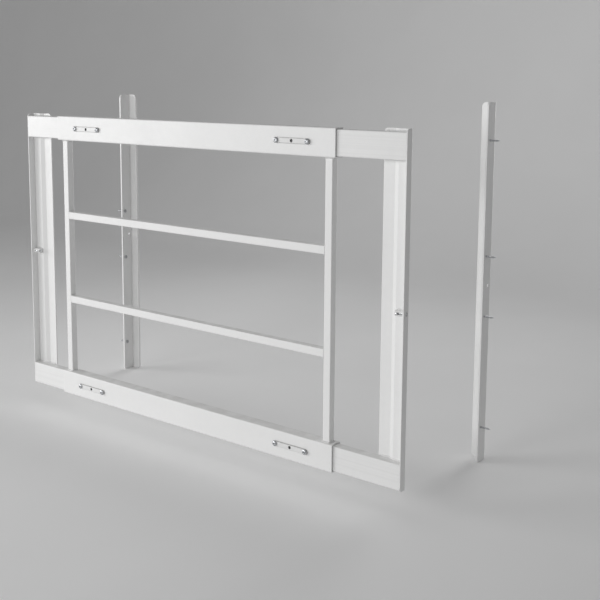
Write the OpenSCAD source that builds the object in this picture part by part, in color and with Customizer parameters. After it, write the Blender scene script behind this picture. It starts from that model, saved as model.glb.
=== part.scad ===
// Telescoping window security bar: a welded centre frame, two sliding end frames
// with barrel bolts, and two mounting angles that are screwed to the window's jambs.
// Millimetres, +X along the guard, +Y into the window, +Z up.

/* [Centre frame] */
// Length of the two sleeves
sleeve_len = 720; // [600:5:900]
// Height of a sleeve's section
sleeve_h = 51; // [40:1:70]
// Depth of a sleeve's section, front to back
sleeve_d = 26; // [25:0.5:36]
// Wall of the sleeves
sleeve_wall = 2; // [1.5:0.25:3]
// Outside corner radius of the sleeves
sleeve_r = 2.5; // [1:0.25:4]
// Inside corner radius of sleeves and rails
tube_inner_r = 0.8; // [0.4:0.1:1.5]
// Height over both sleeves
guard_h = 610; // [450:5:900]
// Side of the square uprights and crossbars
bar_side = 15; // [10:0.5:20]
// Edge radius of the uprights and crossbars
bar_r = 1.2; // [0.5:0.1:2]
// Distance between the middles of the two crossbars
crossbar_pitch = 184; // [100:1:220]
// Distance from a sleeve's end to the upright beside it
upright_inset = 9; // [5:1:40]

/* [End frames] */
// How far the left end stands out of the sleeves
left_reach = 105; // [60:1:200]
// How far the right end stands out of the sleeves
right_reach = 138; // [60:1:200]
// Length of an inner rail
rail_len = 395; // [340:5:400]
// Wall of the inner rails
rail_wall = 2; // [1.5:0.25:3]
// Outside corner radius of the inner rails
rail_r = 2; // [1:0.25:3]
// Clearance above and below an inner rail in its sleeve
rail_gap = 0.4; // [0.2:0.1:0.8]
// Clearance in front of and behind an inner rail in its sleeve
rail_side_gap = 1.5; // [0.6:0.1:2.5]
// Thickness of the end channels' sheet
channel_t = 2; // [1.5:0.25:3]
// How far the end channels stand above the sleeves
channel_rise = 3; // [0:0.5:20]
// Distance from an end's outer face to the web's inner edge
web_w = 24; // [22:0.5:40]
// Depth of the web behind the channel's front edge
web_set = 14.5; // [13:0.25:15]
// Run of the joggle between web and flange
joggle_run = 9; // [5:0.5:15]
// Width of the rear flange that is welded to the rails
flange_w = 22; // [15:0.5:35]
// Radius of the channels' free corners
channel_corner_r = 7; // [2:0.5:10]

/* [Locks] */
// Distance from a sleeve's end to the middle of its lock
lock_from_end = 92; // [55:1:140]
// Distance between a strap's two screws
strap_pitch = 68; // [40:1:90]
// Height of a strap
strap_h = 9; // [8:0.25:14]
// Thickness of a strap
strap_t = 2; // [1.5:0.25:4]
// Diameter of the strap screws' heads
strap_head_d = 10.5; // [8:0.25:13]
// Height of the strap screws' heads
strap_head_h = 3.6; // [2.8:0.1:5]
// Shank diameter of the strap screws
strap_screw_d = 5; // [3:0.25:6]
// Width across the flats of the strap screws' sockets
strap_socket_w = 3.5; // [2:0.25:5]
// Depth of the strap screws' sockets
strap_socket_deep = 2; // [1:0.1:2.4]
// Diameter of the set screws
set_screw_d = 6; // [4:0.25:7]
// Width across the flats of the set screws' sockets
set_socket_w = 4; // [1.5:0.25:4.25]
// Depth of the set screws' sockets
set_socket_deep = 2.5; // [1:0.1:3]
// How far a set screw lies below its strap's face
set_recess = 0.5; // [0.2:0.1:1]
// Clearance between a screw's end and the rail behind it
tip_gap = 0.3; // [0.2:0.05:0.6]

/* [Latches] */
// Outside diameter of a latch barrel
barrel_d = 10; // [9:0.25:12]
// Length of barrel left at each end of its slot
barrel_margin = 3.4; // [2:0.1:4]
// Height of the foot between a barrel and the web
barrel_foot = 0.5; // [0.2:0.1:1]
// Diameter of a latch bolt
bolt_d = 6; // [5:0.25:7]
// How far a bolt stands out of its barrel's inner end when drawn back
bolt_tail = 1.5; // [0.5:0.1:2.5]
// How far a bolt's tip lies inside the outer face when drawn back
bolt_home = 0.5; // [0.3:0.1:1]
// Throw of a latch bolt
bolt_throw = 9; // [6:0.5:9.5]
// Chamfer on a bolt's ends
bolt_chamfer = 0.8; // [0.3:0.1:1.2]
// Diameter of a knob's shank
knob_shank_d = 3; // [2.5:0.1:3.4]
// Diameter of a knob's head
knob_head_d = 5; // [4:0.25:6]
// Height of a knob's head
knob_head_h = 2; // [1.2:0.1:2.4]
// Gap between a knob's head and the barrel
knob_gap = 0.8; // [0.4:0.1:1]

/* [Mounting angles] */
// Length of a mounting angle
angle_len = 690; // [560:5:1000]
// Width of the leg on the jamb
jamb_leg = 32; // [26:0.5:45]
// Width of the leg behind the guard
stop_leg = 27; // [18:0.5:30]
// Thickness of a mounting angle
angle_t = 4; // [3:0.25:4.25]
// Radius of a mounting angle's free corners
angle_corner_r = 8; // [2:0.5:12]
// Room between the jamb screws' heads and the end channel
head_room = 1; // [0.5:0.1:3]
// Gap between an end channel's web and the stop leg when the guard is home
seat_gap = 0.4; // [0.3:0.1:1]
// How far the mounting angles stand behind the guard's home place
angles_apart = 290; // [60:5:400]
// Distance between the two middle jamb screws
inner_screw_pitch = 115; // [60:5:200]
// Distance from a mounting angle's end to the screw beside it
screw_from_end = 70; // [20:1:120]
// Distance from the jamb leg's front edge to its screws
screw_from_edge = 9; // [7:0.5:12]
// Head diameter of the jamb screws
jamb_head_d = 8.6; // [7:0.1:10]
// Head height of the jamb screws
jamb_head_h = 3; // [2.4:0.1:3.3]
// Thread diameter of the jamb screws
jamb_screw_d = 4.2; // [3:0.1:5]
// How far the plain necks of the jamb screws stand proud of their threads
jamb_neck_step = 0.2; // [0.1:0.05:0.4]
// Length of the jamb screws under their heads
jamb_screw_len = 25; // [16:1:50]
// Length of the jamb screws' points
jamb_point_len = 6; // [3:0.5:8]
// Slot width of the jamb screws' cross recess
recess_w = 1.2; // [0.6:0.1:1.6]
// Length of the jamb screws' cross recess
recess_len = 4.4; // [3:0.1:5]
// Depth of the jamb screws' cross recess
recess_deep = 1.6; // [0.8:0.1:2]

/* [Clearances] */
// Radial clearance of the bolts in their barrels and the set screws in their holes
running_gap = 0.05; // [0.02:0.01:0.1]
// Radial clearance of the strap screws in their holes and the knobs in their slots
screw_gap = 0.1; // [0.05:0.05:0.4]
// Radial clearance of the jamb screws' necks in the mounting angles
jamb_hole_gap = 0.2; // [0.1:0.05:0.4]
// Radial clearance of the bolts in the end channels and mounting angles
bolt_way_gap = 0.7; // [0.4:0.1:1]

/* [Hidden] */
$fn = 48;
hex_sides = 6;
dome_share = 2 / 3;
white = [0.93, 0.93, 0.92];
zinc = [0.66, 0.67, 0.68];
steel = [0.55, 0.56, 0.57];
left = -1;
right = 1;

// Guard: places along X
overall_w = left_reach + sleeve_len + right_reach;
sleeve_x0 = left_reach - overall_w / 2;
sleeve_x1 = sleeve_x0 + sleeve_len;
upright_x0 = sleeve_x0 + upright_inset;
upright_x1 = sleeve_x1 - upright_inset - bar_side;

// Guard: places along Z, from the bottom of the lower sleeve
upper_z = guard_h - sleeve_h / 2;
lower_z = sleeve_h / 2;
upper_bar_z = (guard_h + crossbar_pitch) / 2;
lower_bar_z = (guard_h - crossbar_pitch) / 2;
rail_h = sleeve_h - 2 * (sleeve_wall + rail_gap);
rail_d = sleeve_d - 2 * (sleeve_wall + rail_side_gap);
channel_h = guard_h + channel_rise;
latch_z = channel_h / 2;

// Guard: places along Y, from the middle of the tubes
sleeve_front = -sleeve_d / 2;
strap_front = sleeve_front - strap_t;
head_front = strap_front - strap_head_h;
rail_front = -rail_d / 2;
rail_back = rail_d / 2;
web_front = rail_front + web_set;
web_back = web_front + channel_t;
flange_back = rail_back + channel_t;
flange_u0 = web_w + joggle_run;
flange_u1 = flange_u0 + flange_w;
set_screw_len = rail_front - tip_gap - strap_front - set_recess;

// Latches
bolt_y = web_front - barrel_foot - barrel_d / 2;
slot_len = bolt_throw + knob_shank_d + 2 * screw_gap;
barrel_len = slot_len + 2 * barrel_margin;
slot_mid_u = channel_t + barrel_len / 2;
knob_u = slot_mid_u + bolt_throw / 2;
bolt_len = channel_t + barrel_len + bolt_tail - bolt_home;
knob_seat_y = bolt_y - barrel_d / 2 - knob_gap;

// Mounting angles: home place, and the place where they stand
angle_back = web_back + seat_gap + angle_t + angles_apart;
keeper_y = bolt_y + angles_apart;
side_gap = jamb_head_h + head_room;
jamb_u0 = -side_gap - angle_t;
jamb_screw_y = angle_back - jamb_leg + screw_from_edge;
jamb_neck_r = jamb_screw_d / 2 + jamb_neck_step;
angle_z0 = latch_z - angle_len / 2;
outer_screw_pitch = angle_len - 2 * screw_from_end;
jamb_screw_z = [for (pitch = [outer_screw_pitch, inner_screw_pitch], s = [-1, 1]) latch_z + s * pitch / 2];

// The origin is at the middle of the bottom of the box round the whole part
part_shift = [0, -(head_front + angle_back) / 2, max(0, -angle_z0)];
cut = 1;
far = 60;

// Rectangle with round corners, centred
module round_rect(w, h, r) {
  square([w - 2 * r, h], center = true);
  square([w, h - 2 * r], center = true);
  for (x = [-1, 1], y = [-1, 1])
    translate([x * (w / 2 - r), y * (h / 2 - r)]) circle(r);
}

// Slot outline with round ends along X, centred
module stadium(len, w) {
  square([len - w, w], center = true);
  for (x = [-1, 1])
    translate([x * (len - w) / 2, 0]) circle(d = w);
}

// A section drawn in Y and Z, run along X
module run_x(x0, len) translate([x0, 0, 0]) rotate([90, 0, 90]) linear_extrude(len) children();

// An outline drawn in X and Z, run forwards from y0 along -Y
module run_forward(y0, len) translate([0, y0, 0]) rotate([90, 0, 0]) linear_extrude(len) children();

// A rod along -Y from y0, and a rod along +X from u0
module rod_forward(x, y0, z, d, len) translate([x, y0, z]) rotate([90, 0, 0]) cylinder(d = d, h = len);
module rod_x(u0, y, z, d, len) translate([u0, y, z]) rotate([0, 90, 0]) cylinder(d = d, h = len);

// An end's own frame: X runs inwards from the end channel's outer face
module at_end(side) {
  if (side == left)
    translate([-overall_w / 2, 0, 0]) children();
  else
    translate([overall_w / 2, 0, 0]) mirror([1, 0, 0]) children();
}

// Middle of the lock at one end of a sleeve
function lock_x(side) = side == left ? sleeve_x0 + lock_from_end : sleeve_x1 - lock_from_end;

// Holes of one lock: the set screw's in the middle and the strap screws' on each side
module lock_holes() {
  circle(d = set_screw_d + 2 * running_gap);
  for (s = [-1, 1])
    translate([s * strap_pitch / 2, 0]) circle(d = strap_screw_d + 2 * screw_gap);
}

// Outer tube of the centre frame, with its lock holes drilled in the front wall
module sleeve(z) color(white) difference() {
  translate([0, 0, z]) run_x(sleeve_x0, sleeve_len) difference() {
    round_rect(sleeve_d, sleeve_h, sleeve_r);
    round_rect(sleeve_d - 2 * sleeve_wall, sleeve_h - 2 * sleeve_wall, tube_inner_r);
  }
  for (side = [left, right])
    translate([lock_x(side), 0, z]) run_forward(sleeve_front + sleeve_wall + cut, sleeve_wall + 2 * cut)
      lock_holes();
}

// Square bar that stands between the sleeves
module upright(x0) color(white)
  translate([x0 + bar_side / 2, 0, sleeve_h]) linear_extrude(guard_h - 2 * sleeve_h)
    round_rect(bar_side, bar_side, bar_r);

// Square bar between the uprights
module crossbar(z) color(white)
  translate([0, 0, z]) run_x(upright_x0 + bar_side, upright_x1 - upright_x0 - bar_side)
    round_rect(bar_side, bar_side, bar_r);

// Reinforcing strap on a sleeve's front, drilled for two screws and tapped for the set screw
module strap(side, z) color(white)
  translate([lock_x(side), 0, z]) run_forward(sleeve_front, strap_t) difference() {
    stadium(strap_pitch + strap_h, strap_h);
    lock_holes();
  }

// Radius of the dome that rises over the upper share of a head's height
function dome_r(d, h) = (pow(d / 2, 2) + pow(dome_share * h, 2)) / (2 * dome_share * h);

// Half outline of a domed head: radius along X, height along Y
module dome_half(d, h) intersection() {
  square([d / 2, h]);
  translate([0, h - dome_r(d, h)]) circle(dome_r(d, h));
}

// Domed socket screw pointing into the sleeve
module strap_screw(x, z) translate([x, strap_front, z]) rotate([90, 0, 0]) difference() {
  union() {
    rotate_extrude() dome_half(strap_head_d, strap_head_h);
    mirror([0, 0, 1]) cylinder(d = strap_screw_d, h = rail_front - strap_front - tip_gap);
  }
  translate([0, 0, strap_head_h - strap_socket_deep])
    cylinder(d = strap_socket_w / cos(180 / hex_sides), h = strap_socket_deep + cut, $fn = hex_sides);
}

module strap_screws(side, z) color(zinc)
  for (s = [-1, 1])
    strap_screw(lock_x(side) + s * strap_pitch / 2, z);

// Socket set screw through strap and sleeve, with its flat end just off the rail
module set_screw(side, z) color(steel)
  translate([lock_x(side), rail_front - tip_gap, z]) rotate([90, 0, 0]) difference() {
    cylinder(d = set_screw_d, h = set_screw_len);
    translate([0, 0, set_screw_len - set_socket_deep])
      cylinder(d = set_socket_w / cos(180 / hex_sides), h = set_socket_deep + cut, $fn = hex_sides);
  }

// Plan of the space behind the front of an end channel's web and joggle
module behind_web() polygon([
  [-far, web_front], [web_w, web_front], [flange_u0, rail_back], [flange_u0, far], [-far, far]
]);

// Inner tube, cut away behind so that the end channel passes through
module rail(side, z) color(white) at_end(side) difference() {
  translate([0, 0, z]) run_x(channel_t, rail_len) difference() {
    round_rect(rail_d, rail_h, rail_r);
    round_rect(rail_d - 2 * rail_wall, rail_h - 2 * rail_wall, tube_inner_r);
  }
  translate([0, 0, z - rail_h]) linear_extrude(2 * rail_h) behind_web();
}

// Plan of an end channel: outer wall, bend, web, joggle and rear flange
module channel_plan() {
  translate([0, rail_front]) square([channel_t, web_front - rail_front]);
  intersection() {
    translate([channel_t, web_front]) circle(channel_t);
    translate([0, web_front]) square(channel_t);
  }
  polygon([
    [channel_t, web_front], [web_w, web_front], [flange_u0, rail_back], [flange_u1, rail_back],
    [flange_u1, flange_back], [flange_u0, flange_back], [web_w, web_back], [channel_t, web_back]
  ]);
}

// Bent-sheet end channel with round free corners and a hole for the latch bolt
module end_channel(side) color(white) at_end(side) difference() {
  intersection() {
    linear_extrude(channel_h) channel_plan();
    translate([(flange_u1 - far) / 2, 0, latch_z]) run_forward(far, 2 * far)
      round_rect(flange_u1 + far, channel_h, channel_corner_r);
    translate([0, (rail_front + far) / 2, latch_z]) run_x(-far, 3 * far)
      round_rect(far - rail_front, channel_h, channel_corner_r);
  }
  rod_x(-cut, bolt_y, latch_z, bolt_d + 2 * bolt_way_gap, channel_t + 2 * cut);
}

// Slotted barrel with a flat foot on the web
module latch_barrel(side) color(white) at_end(side) difference() {
  translate([0, bolt_y, latch_z]) run_x(channel_t, barrel_len) difference() {
    union() {
      circle(d = barrel_d);
      translate([0, -barrel_d / 2]) square([web_front - bolt_y, barrel_d]);
    }
    circle(d = bolt_d + 2 * running_gap);
  }
  translate([slot_mid_u, 0, latch_z]) run_forward(bolt_y, barrel_d)
    stadium(slot_len, knob_shank_d + 2 * screw_gap);
}

// Round bolt with chamfered ends, drilled for its knob
module latch_bolt(side) color(zinc) at_end(side) difference() {
  translate([bolt_home, bolt_y, latch_z]) rotate([0, 90, 0]) rotate_extrude() polygon([
    [0, 0], [bolt_d / 2 - bolt_chamfer, 0], [bolt_d / 2, bolt_chamfer],
    [bolt_d / 2, bolt_len - bolt_chamfer], [bolt_d / 2 - bolt_chamfer, bolt_len], [0, bolt_len]
  ]);
  rod_forward(knob_u, bolt_y, latch_z, knob_shank_d, bolt_d);
}

// Finger knob driven into the bolt
module latch_knob(side) color(zinc) at_end(side) {
  rod_forward(knob_u, bolt_y, latch_z, knob_shank_d, bolt_y - knob_seat_y);
  translate([knob_u, knob_seat_y, latch_z]) rotate([90, 0, 0])
    rotate_extrude() dome_half(knob_head_d, knob_head_h);
}

// Plan of a mounting angle, with its bend rounded outside
module angle_plan() translate([jamb_u0, angle_back]) {
  translate([0, -jamb_leg]) square([angle_t, jamb_leg - angle_t]);
  translate([angle_t, -angle_t]) square([stop_leg - angle_t, angle_t]);
  intersection() {
    translate([angle_t, -angle_t]) circle(angle_t);
    translate([0, -angle_t]) square(angle_t);
  }
}

// Bent angle with round free corners, a keeper hole for the bolt and holes for the jamb screws
module mounting_angle(side) color(white) at_end(side) difference() {
  intersection() {
    translate([0, 0, angle_z0]) linear_extrude(angle_len) angle_plan();
    translate([jamb_u0 + (stop_leg - far) / 2, 0, latch_z]) run_forward(angle_back + far, 2 * far)
      round_rect(stop_leg + far, angle_len, angle_corner_r);
    translate([0, angle_back + (far - jamb_leg) / 2, latch_z]) run_x(jamb_u0 - far, 3 * far)
      round_rect(jamb_leg + far, angle_len, angle_corner_r);
  }
  rod_x(jamb_u0 - cut, keeper_y, latch_z, bolt_d + 2 * bolt_way_gap, angle_t + 2 * cut);
  for (z = jamb_screw_z)
    rod_x(jamb_u0 - cut, jamb_screw_y, z, 2 * (jamb_neck_r + jamb_hole_gap), angle_t + 2 * cut);
}

// Pan-head wood screw with a cross recess, a neck as long as the angle is thick, and its point outwards
module jamb_screw() rotate([0, 90, 0]) difference() {
  union() {
    rotate_extrude() dome_half(jamb_head_d, jamb_head_h);
    mirror([0, 0, 1]) rotate_extrude() polygon([
      [0, 0], [jamb_neck_r, 0], [jamb_neck_r, angle_t], [jamb_screw_d / 2, angle_t],
      [jamb_screw_d / 2, jamb_screw_len - jamb_point_len], [0, jamb_screw_len]
    ]);
  }
  for (turn = [0, 90])
    translate([0, 0, jamb_head_h - recess_deep]) rotate(turn) translate([-recess_len / 2, -recess_w / 2, 0])
      cube([recess_len, recess_w, recess_deep + cut]);
}

module jamb_screws(side) color(zinc) at_end(side)
  for (z = jamb_screw_z)
    translate([-side_gap, jamb_screw_y, z]) jamb_screw();

// Puts a piece in the part's own frame
module placed() translate(part_shift) children();

placed() sleeve(upper_z);  // upper_sleeve
placed() sleeve(lower_z);  // lower_sleeve
placed() upright(upright_x0);  // left_upright
placed() upright(upright_x1);  // right_upright
placed() crossbar(upper_bar_z);  // upper_crossbar
placed() crossbar(lower_bar_z);  // lower_crossbar
placed() strap(left, upper_z);  // upper_left_strap
placed() strap(right, upper_z);  // upper_right_strap
placed() strap(left, lower_z);  // lower_left_strap
placed() strap(right, lower_z);  // lower_right_strap
placed() strap_screws(left, upper_z);  // upper_left_strap_screws
placed() strap_screws(right, upper_z);  // upper_right_strap_screws
placed() strap_screws(left, lower_z);  // lower_left_strap_screws
placed() strap_screws(right, lower_z);  // lower_right_strap_screws
placed() set_screw(left, upper_z);  // upper_left_set_screw
placed() set_screw(right, upper_z);  // upper_right_set_screw
placed() set_screw(left, lower_z);  // lower_left_set_screw
placed() set_screw(right, lower_z);  // lower_right_set_screw
placed() rail(left, upper_z);  // left_upper_rail
placed() rail(left, lower_z);  // left_lower_rail
placed() rail(right, upper_z);  // right_upper_rail
placed() rail(right, lower_z);  // right_lower_rail
placed() end_channel(left);  // left_end_channel
placed() end_channel(right);  // right_end_channel
placed() latch_barrel(left);  // left_latch_barrel
placed() latch_barrel(right);  // right_latch_barrel
placed() latch_bolt(left);  // left_latch_bolt
placed() latch_bolt(right);  // right_latch_bolt
placed() latch_knob(left);  // left_latch_knob
placed() latch_knob(right);  // right_latch_knob
placed() mounting_angle(left);  // left_mounting_angle
placed() mounting_angle(right);  // right_mounting_angle
placed() jamb_screws(left);  // left_jamb_screws
placed() jamb_screws(right);  // right_jamb_screws
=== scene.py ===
# Telescoping window security bar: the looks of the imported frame, piece by piece in the order of assembly
import math

import bmesh
import bpy
from mathutils import Matrix, Vector


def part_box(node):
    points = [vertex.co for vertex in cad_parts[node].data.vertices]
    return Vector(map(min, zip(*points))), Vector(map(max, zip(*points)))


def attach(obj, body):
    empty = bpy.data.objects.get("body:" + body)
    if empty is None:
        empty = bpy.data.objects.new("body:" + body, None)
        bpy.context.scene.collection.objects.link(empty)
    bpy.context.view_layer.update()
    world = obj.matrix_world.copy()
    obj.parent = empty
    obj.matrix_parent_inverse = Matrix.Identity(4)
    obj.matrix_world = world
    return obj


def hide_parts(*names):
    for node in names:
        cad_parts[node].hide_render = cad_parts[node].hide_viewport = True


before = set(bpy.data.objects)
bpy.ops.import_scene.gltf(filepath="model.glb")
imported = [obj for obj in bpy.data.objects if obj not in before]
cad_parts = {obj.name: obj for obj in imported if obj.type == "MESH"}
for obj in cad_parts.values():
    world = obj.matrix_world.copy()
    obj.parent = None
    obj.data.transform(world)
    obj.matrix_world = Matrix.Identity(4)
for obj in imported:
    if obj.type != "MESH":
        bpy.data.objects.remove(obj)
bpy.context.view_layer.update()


# Sleeves: the two outer tubes of the centre frame, box section rolled from 2 mm steel strip.
# Their ends are sawn and deburred. Like all the welded work they are powder coated satin white, with a
# faint orange peel, a painted highlight along the edges, dust and painted shade on upward faces, and a
# painted shadow line round each lock strap.
class Shade:
    """A shader socket that takes part in sums, so that a mask reads as arithmetic."""

    def __init__(self, tree, socket=None):
        self.tree = tree
        self.socket = socket

    def node(self, kind, settings=None, sockets=None, out=0):
        """Adds any node: its settings come first, then the values or links of its sockets."""
        made = self.tree.nodes.new("ShaderNode" + kind)
        for name, value in (settings or {}).items():
            setattr(made, name, value)
        for name, value in (sockets or {}).items():
            if isinstance(value, Shade):
                self.tree.links.new(value.socket, made.inputs[name])
            else:
                made.inputs[name].default_value = value
        return Shade(self.tree, made.outputs[out])

    def sum_with(self, operation, first, second):
        return self.node("Math", {"operation": operation}, {0: first, 1: second})

    def __add__(self, other):
        return self.sum_with("ADD", self, other)

    def __radd__(self, other):
        return self.sum_with("ADD", other, self)

    def __sub__(self, other):
        return self.sum_with("SUBTRACT", self, other)

    def __rsub__(self, other):
        return self.sum_with("SUBTRACT", other, self)

    def __mul__(self, other):
        return self.sum_with("MULTIPLY", self, other)

    def __rmul__(self, other):
        return self.sum_with("MULTIPLY", other, self)

    def __abs__(self):
        return self.node("Math", {"operation": "ABSOLUTE"}, {0: self})


def fade(value, low, high):
    """A soft step: 0 where value is under low, 1 where it is over high."""
    ends = {"Value": value, "From Min": low, "From Max": high}
    return value.node("MapRange", {"interpolation_type": "SMOOTHSTEP"}, ends)


def tint(mask, under, over):
    """One colour over another by a mask."""
    return mask.node("Mix", {"data_type": "RGBA"}, {0: mask, 6: under, 7: over}, out=2)


def speckle(place, scale, detail=2.0):
    """Even noise about scale spots to the metre."""
    return place.node("TexNoise", {}, {"Vector": place, "Scale": scale, "Detail": detail})


def patches(place, scale, low, high, detail=2.0):
    """Soft-edged patches where that noise rises from low to high."""
    return fade(speckle(place, scale, detail), low, high)


def new_finish(name):
    """A material with its shader, and a start for its nodes."""
    material = bpy.data.materials.new(name)
    material.use_nodes = True
    return material, material.node_tree.nodes["Principled BSDF"], Shade(material.node_tree)


def feed(shader, **shades):
    """Links shades to the shader's sockets, with _ for the space in a socket's name."""
    for name, shade in shades.items():
        shade.tree.links.new(shade.socket, shader.inputs[name.replace("_", " ")])


coat_white = (0.86, 0.86, 0.856, 1)
coat_cloud = (0.825, 0.826, 0.822, 1)
# Near-white of the painted highlight along the edges.
coat_edge_highlight = (0.95, 0.95, 0.946, 1)
coat_greyed = (0.66, 0.66, 0.655, 1)
# Grey of the painted shadow line round the lock straps.
strap_shadow_grey = (0.36, 0.36, 0.35, 1)
# Grey of the dust on upward faces, which also paints shade on the tops.
dust_and_shade_grey = (0.55, 0.545, 0.53, 1)
primer_grey = (0.36, 0.36, 0.365, 1)
rub_grey = (0.70, 0.70, 0.695, 1)
coat_rough = 0.40
coat_gloss = 0.12
coat_gloss_rough = 0.25
cloud_scale = 8
mottle_scale = 95
chip_scale = 330
dust_and_shade_scale = 35
strap_shadow_scale = 160
rub_scale = (0.8, 420, 420)
edge_reach = 0.0013
peel_scale = 520
fine_peel_scale = 1600
peel_height = 0.00025
peel_strength = 0.7
strap_shadow_reach = 0.0016
strap_shadow_inside = 0.0004
strap_low, strap_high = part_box("lower_left_strap")
far_low, far_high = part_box("upper_right_strap")
strap_round = (strap_high.z - strap_low.z) / 2
strap_half = (strap_high.x - strap_low.x) / 2 - strap_round
strap_middle = (strap_low + far_high) / 2
strap_apart = (far_low - strap_low) / 2


def strap_shadow_line(place):
    """Painted shade in the corner round the four lock straps, by the distance from a strap's outline."""
    x, y, z = (place.node("SeparateXYZ", {}, {"Vector": place}, out=axis) for axis in "XYZ")
    along = abs(abs(x - strap_middle.x) - strap_apart.x) - strap_half
    along = along.node("Math", {"operation": "MAXIMUM"}, {0: along, 1: 0.0})
    across = abs(z - strap_middle.z) - strap_apart.z
    from_core = along.node("Math", {"operation": "SQRT"}, {0: along * along + across * across})
    outside = from_core - strap_round
    line = fade(outside, -strap_shadow_inside, 0.0) - fade(outside, strap_shadow_inside, strap_shadow_reach)
    return line * fade(0 - y, -strap_high.y - strap_shadow_reach, -strap_high.y - strap_shadow_inside)


def powder_coat(name, rubbed=0.0, greyed=0.0):
    """Satin white powder coat. Rubbed is how far sliding has burnished it along X, and greyed is how far
    handling has dulled it."""
    material, shader, start = new_finish(name)
    place = start.node("TexCoord", out="Object")
    cloud = patches(place, cloud_scale, 0.35, 0.7, detail=4)
    mottle = patches(place, mottle_scale, 0.3, 0.75)
    round_normal = start.node("Bevel", {"samples": 4}, {"Radius": edge_reach})
    flat_normal = start.node("NewGeometry", out="True Normal")
    both = {0: round_normal, 1: flat_normal}
    lean = start.node("VectorMath", {"operation": "DOT_PRODUCT"}, both, out=1)
    # The edges carry a painted highlight in the colour, and also the chips of real wear.
    edge = fade(1 - lean, 0.01, 0.22)
    chip = edge * patches(place, chip_scale, 0.64, 0.7, detail=3)
    grain = place.node("Mapping", {}, {"Vector": place, "Scale": rub_scale})
    rub = patches(grain, 1, 0.4, 0.8, detail=1) * rubbed
    # Upward faces: patchy dust, which also serves as painted shade that darkens the tops.
    rise = start.node("SeparateXYZ", {}, {"Vector": round_normal}, out="Z")
    top_dust_and_shade = fade(rise, 0.5, 0.95) * patches(place, dust_and_shade_scale, 0.25, 0.7, detail=5)
    # A painted shadow line in the corner round each lock strap, greyer and rougher.
    painted_strap_shadow = strap_shadow_line(place) * patches(place, strap_shadow_scale, 0.1, 0.5, detail=3)
    colour = tint(cloud * 0.5 + mottle * 0.25, coat_white, coat_cloud)
    colour = tint(cloud * greyed * 0.4 + greyed * 0.6, colour, coat_greyed)
    rough = coat_rough + mottle * 0.06 + cloud * 0.04
    for mask, cover, tone, rougher in (
        (edge, 0.75, coat_edge_highlight, -0.1),
        (rub, 1.0, rub_grey, -0.12),
        (top_dust_and_shade, 0.45, dust_and_shade_grey, 0.2),
        (painted_strap_shadow, 0.6, strap_shadow_grey, 0.2),
        (chip, 0.7, primer_grey, 0.2),
    ):
        colour = tint(mask * cover, colour, tone)
        rough = rough + mask * rougher
    peel = speckle(place, peel_scale, 0) + speckle(place, fine_peel_scale, 0) * 0.12 - chip * 0.6
    relief = {"Strength": peel_strength, "Distance": peel_height, "Height": peel, "Normal": round_normal}
    feed(shader, Base_Color=colour, Roughness=rough, Normal=peel.node("Bump", {}, relief))
    shader.inputs["Coat Roughness"].default_value = coat_gloss_rough
    shader.inputs["Coat Weight"].default_value = coat_gloss
    return material


def dress(node, material):
    """Gives a CAD node its finish."""
    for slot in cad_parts[node].material_slots:
        slot.material = material


frame_coat = powder_coat("frame_powder_coat")
levels = ("upper", "lower")
sides = ("left", "right")
for level in levels:
    dress(f"{level}_sleeve", frame_coat)

# Uprights and crossbars: 15 mm square steel bar with rolled edges, sawn to length.
# The uprights are welded all round to the sleeves, and the crossbars above and below to the uprights.
# The beads are small, laid by hand in short ripples, and painted over with the rest.
bead_leg = 0.0026
bead_ripple = 0.0016
bead_step = 0.0004
bead_crown = 0.14
bead_uneven = 0.05
bead_sunk = 0.00015
bead_root_sunk = 3 * bead_sunk
bead_faces = 5
wander_run = 410
wander_x = 90
wander_z = 70
crease = math.radians(38)


def weld_bead(mesh, corners, up, leg, closed=False):
    """Lays a fillet bead along corners, a list of (root point, direction out along the first face).
    The second face runs off along up."""
    stops = corners + corners[:1] if closed else corners
    stations = []
    run = 0.0
    for (start, out_a), (end, out_b) in zip(stops, stops[1:]):
        count = max(1, round((end - start).length / bead_step))
        for i in range(count):
            share = i / count
            stations.append((start.lerp(end, share), out_a.lerp(out_b, share).normalized(), run))
            run += (end - start).length / count
    if not closed:
        stations.append((stops[-1][0], stops[-1][1].normalized(), run))
    rings = []
    for root, out, at in stations:
        wave = math.cos(math.tau * at / bead_ripple)
        drift = math.sin(at * wander_run + root.x * wander_x + root.z * wander_z)
        size = leg * (1 - bead_uneven + bead_uneven * wave + bead_uneven * drift)
        if not closed:
            size *= math.sqrt(min(1.0, (min(at, run - at) + bead_step) / leg))
        crown = size * (bead_crown + bead_uneven * wave)
        lean = (out + up).normalized()
        ring = [mesh.verts.new(root - lean * bead_root_sunk)]
        for j in range(bead_faces + 1):
            share = j / bead_faces
            toe = out * (1 - share) + up * share
            rise = crown * math.sin(math.pi * share) - bead_sunk
            ring.append(mesh.verts.new(root + toe * size + lean * rise))
        rings.append(ring)
    pairs = zip(rings, rings[1:] + rings[:1]) if closed else zip(rings, rings[1:])
    for ring, after in pairs:
        for j in range(len(ring)):
            k = (j + 1) % len(ring)
            mesh.faces.new((ring[j], ring[k], after[k], after[j]))
    if not closed:
        mesh.faces.new(rings[0])
        mesh.faces.new(rings[-1])


def new_piece(name, mesh, material, body):
    """Turns mesh code into a smooth-shaded piece that rides on a body."""
    bmesh.ops.recalc_face_normals(mesh, faces=mesh.faces)
    data = bpy.data.meshes.new(name)
    mesh.to_mesh(data)
    mesh.free()
    data.shade_smooth()
    data.set_sharp_from_angle(angle=crease)
    data.materials.append(material)
    piece = bpy.data.objects.new(name, data)
    bpy.context.collection.objects.link(piece)
    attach(piece, body)
    return piece


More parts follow.
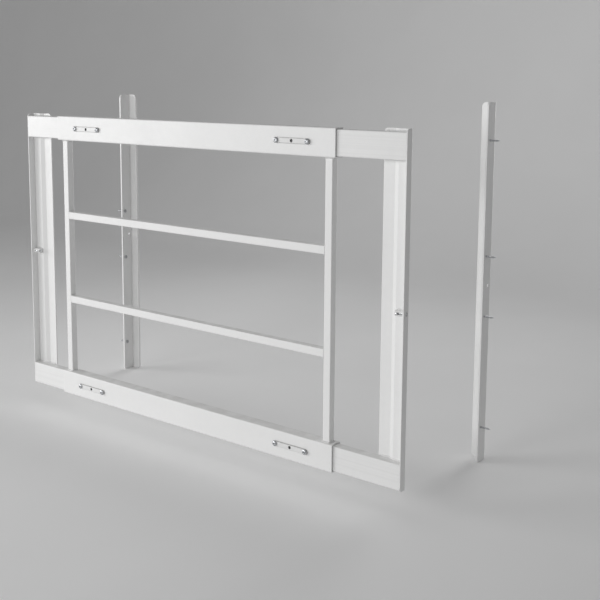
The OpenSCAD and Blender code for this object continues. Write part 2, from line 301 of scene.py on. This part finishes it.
def corners_round(low, high, z, edge_r):
    """Root points round a square bar at height z, two to a side, with directions away from the bar."""
    spots = []
    for x, y, out, back in (
        (low.x, low.y, (0, -1, 0), (1, 0, 0)),
        (high.x, low.y, (1, 0, 0), (0, 1, 0)),
        (high.x, high.y, (0, 1, 0), (-1, 0, 0)),
        (low.x, high.y, (-1, 0, 0), (0, -1, 0)),
    ):
        side, away = Vector(back), Vector(out)
        length = high.x - low.x
        spots.append((Vector((x, y, z)) + side * edge_r, away))
        spots.append((Vector((x, y, z)) + side * (length - edge_r), away))
    return spots


bar_edge = 0.0012
up_z = Vector((0, 0, 1))
frame_welds = bmesh.new()
for side in sides:
    dress(f"{side}_upright", frame_coat)
    low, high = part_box(f"{side}_upright")
    weld_bead(frame_welds, corners_round(low, high, low.z, bar_edge), up_z, bead_leg, closed=True)
    weld_bead(frame_welds, corners_round(low, high, high.z, bar_edge), -up_z, bead_leg, closed=True)
for level in levels:
    dress(f"{level}_crossbar", frame_coat)
    low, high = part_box(f"{level}_crossbar")
    for x, along in ((low.x, Vector((1, 0, 0))), (high.x, Vector((-1, 0, 0)))):
        for z, up in ((low.z, -up_z), (high.z, up_z)):
            ends = [Vector((x, y, z)) for y in (low.y + bar_edge, high.y - bar_edge)]
            weld_bead(frame_welds, [(end, along) for end in ends], up, bead_leg)
new_piece("centre_frame_welds", frame_welds, frame_coat, "centre_frame")

# Inner rails: four lengths of smaller box section that slide in the sleeves.
# They have the same coat, burnished in fine lines along their length where they slide.
rail_coat = powder_coat("rail_powder_coat", rubbed=0.25, greyed=0.05)
for side in sides:
    for level in levels:
        dress(f"{side}_{level}_rail", rail_coat)

# End channels: 2 mm sheet folded into an outer wall, a web and a joggled flange, with round corners.
# Each passes behind its two rails and is welded to them along their upper and lower edges.
sheet = 0.002
web_width = 0.024
joggle_run = 0.009
flange_end = 0.050
wall_start = 0.0045
bend_room = 0.003
thin_leg = 0.0021
inward = {"left": 1, "right": -1}
end_welds = {}
for side in sides:
    dress(f"{side}_end_channel", frame_coat)
    channel_low, channel_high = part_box(f"{side}_end_channel")
    outer_x = channel_low.x if side == "left" else channel_high.x
    web_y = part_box(f"{side}_latch_barrel")[1].y
    end_welds[side] = bmesh.new()
    for level in levels:
        low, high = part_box(f"{side}_{level}_rail")
        fold = Vector((high.y - web_y, -joggle_run, 0)).normalized()
        flat = Vector((0, -1, 0))
        plan = (
            (sheet, low.y + wall_start, Vector((1, 0, 0))),
            (sheet, web_y - bend_room, Vector((1, 0, 0))),
            (sheet, web_y, Vector((1, -1, 0))),
            (sheet + bend_room, web_y, flat),
            (web_width - sheet / 2, web_y, flat),
            (web_width + sheet / 2, web_y + sheet / 4, fold),
            (web_width + joggle_run - sheet / 2, high.y - sheet / 4, fold),
            (web_width + joggle_run + sheet / 2, high.y, flat),
            (flange_end, high.y, flat),
        )
        for z, up in ((low.z, -up_z), (high.z, up_z)):
            path = []
            for u, y, out in plan:
                facing = Vector((out.x * inward[side], out.y, 0))
                path.append((Vector((outer_x + u * inward[side], y, z)), facing))
            weld_bead(end_welds[side], path, up, thin_leg)

# Lock straps: 2 mm strips with round ends that stiffen the sleeve's front where the set screw is tapped.
# Cut from the same steel and coated with the frame, but greyed by keys and fingers.
strap_coat = powder_coat("strap_powder_coat", greyed=0.4)
for level in levels:
    for side in sides:
        dress(f"{level}_{side}_strap", strap_coat)

# Strap screws: zinc-plated button-head screws with a hexagon socket, two to a strap.
# Turned heads, so the plating shows faint rings, and a rolled thread through strap and sleeve.
zinc_light = (0.60, 0.61, 0.625, 1)
zinc_dark = (0.42, 0.43, 0.45, 1)
ring_pitch = 26000
ring_height = 0.00003
ring_strength = 0.12
plate_cloud_scale = 420
plate_grain_scale = 2600


def plated(name, light, dark, shine):
    """Turned and plated metal: rings about each piece's own axis, and clouds of passivation."""
    material, shader, start = new_finish(name)
    place = start.node("TexCoord", out="Object")
    from_axis = start.node("Attribute", {"attribute_name": "from_axis"}, out="Fac")
    rings = start.node("Math", {"operation": "SINE"}, {0: from_axis * ring_pitch})
    cloud = patches(place, plate_cloud_scale, 0.35, 0.7, detail=3)
    grain = speckle(place, plate_grain_scale)
    relief = {"Strength": ring_strength, "Distance": ring_height, "Height": rings + grain}
    feed(
        shader,
        Base_Color=tint(cloud * 0.6 + grain * 0.3, light, dark),
        Roughness=shine + cloud * 0.1 + grain * 0.08,
        Normal=rings.node("Bump", {}, relief),
    )
    shader.inputs["Metallic"].default_value = 1.0
    return material


def turned(mesh, place, rings, segments):
    """Adds a turned solid: rings of (radius, height) along place's Z axis, where a radius may be
    a function of the angle, as in a socket or a thread."""
    from_axis = mesh.verts.layers.float.get("from_axis") or mesh.verts.layers.float.new("from_axis")
    loops = []
    for radius, height in rings:
        loop = []
        for i in range(segments):
            angle = math.tau * i / segments
            r = radius(angle) if callable(radius) else radius
            vert = mesh.verts.new(place @ Vector((r * math.cos(angle), r * math.sin(angle), height)))
            vert[from_axis] = r
            loop.append(vert)
        loops.append(loop)
    for loop, after in zip(loops, loops[1:]):
        for i in range(segments):
            k = (i + 1) % segments
            mesh.faces.new((loop[i], loop[k], after[k], after[i]))
    mesh.faces.new(loops[0])
    mesh.faces.new(loops[-1])


def hexagon(across):
    """Radius of a hexagon of that width across its flats."""
    return lambda angle: across / 2 / math.cos(angle % (math.pi / 3) - math.pi / 6)


def dome(radius, rim, height, steps=7):
    """Rings of a domed head from its crown down to the rim."""
    rise = height - rim
    ball = (radius * radius + rise * rise) / (2 * rise)
    reach = math.asin(min(1.0, radius / ball))
    rings = []
    for i in range(steps + 1):
        turn = reach * i / steps
        rings.append((ball * math.sin(turn), height - ball * (1 - math.cos(turn))))
    return rings


thread_flank = 0.3
thread_tip = 0.06


def thread(core, crest, pitch, top, bottom, point=0.0, steps=10):
    """Rings of a threaded shank from top down to bottom, with a drawn-out point of that length."""
    rings = []
    count = round((top - bottom) / pitch * steps)
    for i in range(count + 1):
        z = top + (bottom - top) * i / count
        taper = min(1.0, max(thread_tip, (z - bottom) / point)) if point else 1.0

        def radius(angle, z=z, taper=taper):
            turn = (z / pitch + angle / math.tau) % 1
            ridge = max(0.0, 1 - abs(turn - 0.5) / thread_flank)
            return (core + (crest - core) * ridge) * taper

        rings.append((radius, z))
    return rings


screw_zinc = plated("zinc_plate", zinc_light, zinc_dark, shine=0.26)
head_segments = 48
shank_segments = 24
strap_shank_r = 0.0025
strap_core_r = 0.0021
strap_pitch = 0.0008
strap_socket = 0.0035
strap_socket_deep = 0.002
socket_floor_r = 0.0004
socket_lead = 0.0003
lead_ring = 3
forward = Matrix.Rotation(math.radians(90), 4, "X")
for level in levels:
    for side in sides:
        name = f"{level}_{side}_strap_screws"
        low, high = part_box(name)
        head_r = (high.z - low.z) / 2
        seat_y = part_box(f"{level}_{side}_strap")[0].y
        head_h = seat_y - low.y
        screws = bmesh.new()
        for x in (low.x + head_r, high.x - head_r):
            place = Matrix.Translation((x, seat_y, (low.z + high.z) / 2)) @ forward
            crown = dome(head_r, head_h / 3, head_h)
            lead_r = strap_socket / 2 / math.cos(math.pi / 6) + socket_lead
            rings = [(socket_floor_r, head_h - strap_socket_deep - socket_lead)]
            rings += [(hexagon(strap_socket), head_h - strap_socket_deep)]
            rings += [(hexagon(strap_socket), head_h - 2 * socket_lead)]
            rings += [(lead_r, crown[lead_ring][1])]
            rings += [ring for ring in crown if ring[0] > lead_r + socket_lead]
            rings += [(head_r, socket_lead), (head_r - socket_lead, 0.0), (strap_shank_r, 0.0)]
            turned(screws, place, rings, head_segments)
            shank = thread(strap_core_r, strap_shank_r, strap_pitch, 0.0, seat_y - high.y)
            turned(screws, place, shank, shank_segments)
        piece = new_piece(f"{level}_{side}_button_screws", screws, screw_zinc, "centre_frame")
        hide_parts(name)

# Set screws: black socket screws without heads, just below the straps' faces.
# They are turned with a hexagon key and press on the rails to hold the width.
oxide_light = (0.38, 0.38, 0.385, 1)
oxide_dark = (0.20, 0.20, 0.205, 1)
black_oxide = plated("black_oxide", oxide_light, oxide_dark, shine=0.38)
set_socket = 0.004
set_socket_deep = 0.0025
set_lead = 0.00035
set_pitch = 0.001
set_core = 0.86
for level in levels:
    for side in sides:
        name = f"{level}_{side}_set_screw"
        low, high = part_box(name)
        middle = (low + high) / 2
        radius, length = (high.z - low.z) / 2, high.y - low.y
        place = Matrix.Translation((middle.x, high.y, middle.z)) @ forward
        rings = [(socket_floor_r, length - set_socket_deep - set_lead)]
        rings += [(hexagon(set_socket), length - set_socket_deep), (hexagon(set_socket), length - set_lead)]
        rings += [(radius - 2 * set_lead, length)]
        rings += thread(radius * set_core, radius, set_pitch, length - set_lead, set_lead)
        rings += [(radius - 2 * set_lead, 0.0)]
        screw = bmesh.new()
        turned(screw, place, rings, head_segments)
        lock = f"{level}_{side}_lock"
        piece = new_piece(f"{level}_{side}_key_screw", screw, black_oxide, lock)
        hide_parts(name)

# Latches: a slotted barrel welded in each end channel, a round bolt that slides in it, and a knob.
# The barrel is coated with the frame. Bolt and knob are bright zinc, turned on a lathe.
barrel_leg = 0.0014
bright_zinc_light = (0.76, 0.77, 0.78, 1)
bright_zinc_dark = (0.6, 0.61, 0.63, 1)
bolt_zinc = plated("bright_zinc", bright_zinc_light, bright_zinc_dark, shine=0.2)
knob_head_h = 0.002
knob_brow_h = 0.0011
knob_rim_h = 0.0009
knob_foot_h = 0.0004
knob_undercut = 0.0004
knob_edge = 0.0002
knob_shank_r = 0.0015
knob_fillet = 0.0003
for side in sides:
    dress(f"{side}_latch_barrel", frame_coat)
    dress(f"{side}_latch_bolt", bolt_zinc)
    low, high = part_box(f"{side}_latch_barrel")
    for z, up in ((low.z, -up_z), (high.z, up_z)):
        ends = [Vector((x, high.y, z)) for x in (low.x + barrel_leg, high.x - barrel_leg)]
        weld_bead(end_welds[side], [(end, Vector((0, -1, 0))) for end in ends], up, barrel_leg)
    new_piece(f"{side}_end_welds", end_welds[side], frame_coat, f"{side}_frame")
    low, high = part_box(f"{side}_latch_knob")
    middle = (low + high) / 2
    head_r = (high.z - low.z) / 2
    place = Matrix.Translation((middle.x, low.y + knob_head_h, middle.z)) @ forward
    rings = [(knob_edge, knob_head_h)] + dome(head_r - knob_edge, knob_brow_h, knob_head_h)[1:]
    rings += [(head_r, knob_rim_h), (head_r, knob_foot_h), (head_r - knob_undercut, 0.0)]
    rings += [(knob_shank_r + knob_fillet, 0.0), (knob_shank_r, -knob_fillet)]
    rings += [(knob_shank_r, low.y + knob_head_h - high.y)]
    knob = bmesh.new()
    turned(knob, place, rings, head_segments)
    piece = new_piece(f"{side}_finger_knob", knob, bolt_zinc, f"{side}_bolt")
    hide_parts(f"{side}_latch_knob")

# Mounting angles: 4 mm steel angle with round free corners, one for each jamb of the window.
# The guard hooks over them, and its bolts shoot into the hole at their middle.
angle_thick = 0.004
for side in sides:
    dress(f"{side}_mounting_angle", frame_coat)

# Jamb screws: four zinc-plated pan-head wood screws in each angle, with a cross recess.
# A plain neck fills the hole, the thread behind it is coarse, and the last part is drawn out to a point.
recess_length = 0.0044
recess_width = 0.0012
recess_deep = 0.0016
recess_rim = 0.0002
recess_floor_length = 0.00264
recess_floor_width = 0.00084
recess_floor_deep = 0.00144
recess_floor_r = 0.0003
pan_edge = 0.0003
jamb_neck_r = 0.0023
jamb_shank_r = 0.0021
jamb_core_r = 0.00145
jamb_pitch = 0.0018
jamb_point = 0.006
inner_pitch = 0.115


def cross(length, width):
    """Radius of a cross with four arms of that width and that length over two."""
    def radius(angle):
        from_arm = abs((angle + math.pi / 4) % (math.pi / 2) - math.pi / 4)
        if math.tan(from_arm) <= width / length:
            return length / 2 / math.cos(from_arm)
        return width / 2 / math.sin(from_arm)
    return radius


for side in sides:
    name = f"{side}_jamb_screws"
    low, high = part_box(name)
    head_r = (high.y - low.y) / 2
    middle = (low + high) / 2
    angle_low, angle_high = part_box(f"{side}_mounting_angle")
    seat_x = angle_low.x + angle_thick if side == "left" else angle_high.x - angle_thick
    tip_x = low.x if side == "left" else high.x
    head_h = abs((high.x if side == "left" else low.x) - seat_x)
    shank_len = abs(tip_x - seat_x)
    facing = Matrix.Rotation(math.radians(90 * inward[side]), 4, "Y")
    screws = bmesh.new()
    for z in (low.z + head_r, middle.z - inner_pitch / 2, middle.z + inner_pitch / 2, high.z - head_r):
        place = Matrix.Translation((seat_x, middle.y, z)) @ facing
        crown = dome(head_r, head_h / 3, head_h)
        rings = [(recess_floor_r, head_h - recess_deep)]
        rings += [(cross(recess_floor_length, recess_floor_width), head_h - recess_floor_deep)]
        rings += [(cross(recess_length, recess_width), crown[lead_ring][1])]
        rings += [ring for ring in crown if ring[0] > recess_length / 2 + recess_rim]
        rings += [(head_r, pan_edge), (head_r - pan_edge, 0.0), (jamb_neck_r, 0.0)]
        rings += [(jamb_neck_r, -angle_thick), (jamb_core_r, -angle_thick)]
        turned(screws, place, rings, 2 * head_segments)
        shank = thread(jamb_core_r, jamb_shank_r, jamb_pitch, -angle_thick, -shank_len, jamb_point)
        turned(screws, place, shank, shank_segments)
    piece = new_piece(f"{side}_wood_screws", screws, screw_zinc, f"{side}_angle")
    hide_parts(name)

# Floor: one sweep of pale matt studio paper, faintly uneven in tone.
# It lies flat under the guard and rises behind it in a wide curve.
paper_grey = (0.90, 0.90, 0.90, 1)
paper_cloud = (0.885, 0.885, 0.885, 1)
paper_cloud_scale = 3
paper_rough = 0.9
paper_half_width = 7.0
paper_front = -6.0
paper_back = 2.6
paper_curve = 1.2
paper_top = 5.0
paper_steps = 16
material, shader, start = new_finish("studio_paper")
place = start.node("TexCoord", out="Object")
feed(shader, Base_Color=tint(patches(place, paper_cloud_scale, 0.3, 0.7), paper_grey, paper_cloud))
shader.inputs["Roughness"].default_value = paper_rough
sweep = [(paper_front, 0.0)]
for i in range(paper_steps + 1):
    turn = math.pi / 2 * i / paper_steps
    sweep.append((paper_back - paper_curve * (1 - math.sin(turn)), paper_curve * (1 - math.cos(turn))))
sweep.append((paper_back, paper_top))
paper = bmesh.new()
rows = [[paper.verts.new((x, y, z)) for x in (-paper_half_width, paper_half_width)] for y, z in sweep]
for row, after in zip(rows, rows[1:]):
    paper.faces.new((row[0], row[1], after[1], after[0]))
paper_mesh = bpy.data.meshes.new("studio_paper")
paper.to_mesh(paper_mesh)
paper.free()
paper_mesh.shade_smooth()
paper_mesh.materials.append(material)
floor = bpy.data.objects.new("studio_paper", paper_mesh)
bpy.context.collection.objects.link(floor)

# Light: an even pale room, with two large soft boxes a little above the guard, one at its left and one
# in front of it, and a weaker one behind it that stands lower.
room_strength = 0.28
guard_middle = (-0.1, 0.0, 0.35)
world = bpy.data.worlds.new("studio_room")
world.use_nodes = True
world.node_tree.nodes["Background"].inputs["Color"].default_value = (1, 1, 1, 1)
world.node_tree.nodes["Background"].inputs["Strength"].default_value = room_strength
bpy.context.scene.world = world


def soft_box(name, place, width, height, beam, watts):
    """An area lamp that faces the guard, with a grid that keeps most of its light off the floor."""
    lamp = bpy.data.lights.new(name, "AREA")
    lamp.shape = "RECTANGLE"
    lamp.size = width
    lamp.size_y = height
    lamp.spread = math.radians(beam)
    lamp.energy = watts
    lamp_object = bpy.data.objects.new(name, lamp)
    lamp_object.location = place
    lamp_object.visible_camera = False
    lamp_object.rotation_euler = (Vector(guard_middle) - Vector(place)).to_track_quat("-Z", "Y").to_euler()
    bpy.context.collection.objects.link(lamp_object)


soft_box("left_soft_box", (-3.2, -2.2, 1.0), width=2.4, height=1.6, beam=75, watts=14.5)
soft_box("front_soft_box", (-0.6, -3.8, 1.1), width=1.8, height=1.6, beam=105, watts=12.5)
soft_box("back_soft_box", (-0.2, 2.1, 0.65), width=1.8, height=0.8, beam=50, watts=3.4)

# Camera: in front of the guard and well to its right, with the photograph's rise of the lens.
# It looks slightly down, and leans a little to one side to share out the lean of the two ends.
camera_down = math.radians(7.4)
camera_turn = math.radians(36.5)
camera_lean = math.radians(0.41)
camera = bpy.data.cameras.new("photo_camera")
camera.sensor_width = 36
camera.lens = 56.81
camera.shift_y = -0.1609
camera_object = bpy.data.objects.new("photo_camera", camera)
camera_object.location = (1.2478, -1.4758, 0.7273)
aimed = Matrix.Rotation(camera_turn, 3, "Z") @ Matrix.Rotation(math.pi / 2 - camera_down, 3, "X")
camera_object.rotation_euler = (aimed @ Matrix.Rotation(camera_lean, 3, "Z")).to_euler()
bpy.context.collection.objects.link(camera_object)
bpy.context.scene.camera = camera_object
bpy.context.scene.view_settings.view_transform = "Standard"
